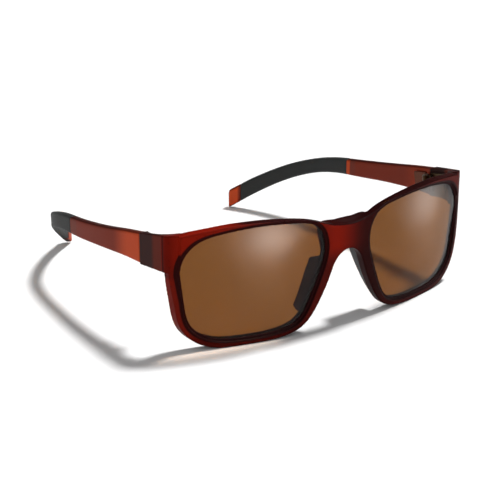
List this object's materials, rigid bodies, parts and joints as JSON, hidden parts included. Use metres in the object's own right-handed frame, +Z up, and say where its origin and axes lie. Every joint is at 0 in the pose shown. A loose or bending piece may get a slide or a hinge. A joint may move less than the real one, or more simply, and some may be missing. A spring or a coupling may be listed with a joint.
{
  "type": "sports sunglasses",
  "caption": "Wraparound sports sunglasses with brown tinted lenses, translucent dark red nylon frame, rubber nose pads and ear socks, and folding temples.",
  "frame": {"origin": "on the surface the glasses stand on, under the middle of their box when open", "axes": "+X towards the wearer's left, +Y back along the temples, away from the face of the front, +Z up"},
  "size_m": [0.1488, 0.148, 0.0484],
  "materials": {
    "frame_nylon": "fine matte, translucent dark red",
    "temple_nylon": "fine matte, translucent red brown, orange where thin",
    "lens_tint": "polished, brown tint",
    "rubber": "matte",
    "steel": "burnished dark bronze plating",
    "screw_steel": "turned, plated"
  },
  "bodies": {
    "front": {"front_frame": "frame_nylon", "lens_left": "lens_tint", "lens_right": "lens_tint", "nose_pad_left": "rubber", "nose_pad_right": "rubber", "front_hinge_leaf_left": "steel", "front_hinge_leaf_right": "steel", "hinge_screw_left": "screw_steel", "hinge_screw_right": "screw_steel"},
    "temple_left": {"temple_arm_left": "temple_nylon", "ear_sock_left": "rubber", "temple_hinge_leaf_left": "steel"},
    "temple_right": {"temple_arm_right": "temple_nylon", "ear_sock_right": "rubber", "temple_hinge_leaf_right": "steel"}
  },
  "joints": [
    {"name": "fold_left", "type": "hinge", "parent": "front", "child": "temple_left", "pos_m": [0.0679, -0.04102, 0.0372], "axis": [0, 0.1736, 0.9848], "range_deg": [0, 84]},
    {"name": "fold_right", "type": "hinge", "parent": "front", "child": "temple_right", "pos_m": [-0.0679, -0.04102, 0.0372], "axis": [0, -0.1736, -0.9848], "range_deg": [0, 74]}
  ]
}
